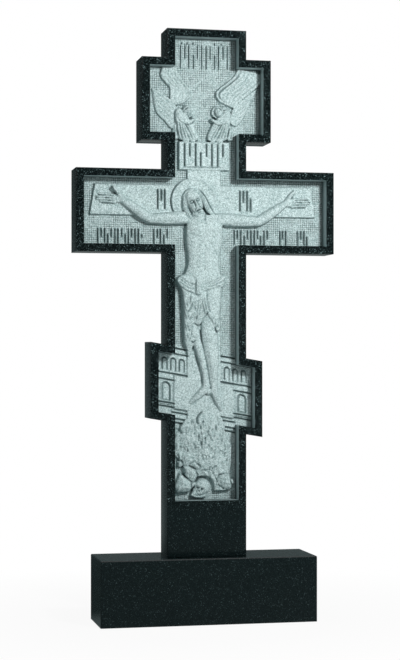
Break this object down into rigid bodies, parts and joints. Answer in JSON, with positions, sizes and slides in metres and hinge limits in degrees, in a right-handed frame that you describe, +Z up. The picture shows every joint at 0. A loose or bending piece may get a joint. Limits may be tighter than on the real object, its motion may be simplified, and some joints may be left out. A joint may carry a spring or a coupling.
{
  "type": "orthodox memorial cross with carved relief",
  "caption": "Upright granite memorial cross with an upper, a main and a sloping lower bar, a recessed carved relief panel and a plain rectangular plinth.",
  "frame": {"origin": "centre of the plinth's underside, on the ground", "axes": "+Z up; the carved face looks along -Y; +X along the bars, to the right of someone who looks at the carving"},
  "size_m": [0.6, 0.15, 1.35],
  "materials": {
    "plinth_granite": "polished near-black granite with fine pale speckle",
    "cross_granite": "polished near-black granite with fine pale speckle; the carved panel is left pale grey and matt"
  },
  "bodies": {
    "root": {"plinth": "plinth_granite", "cross": "cross_granite"}
  },
  "joints": []
}
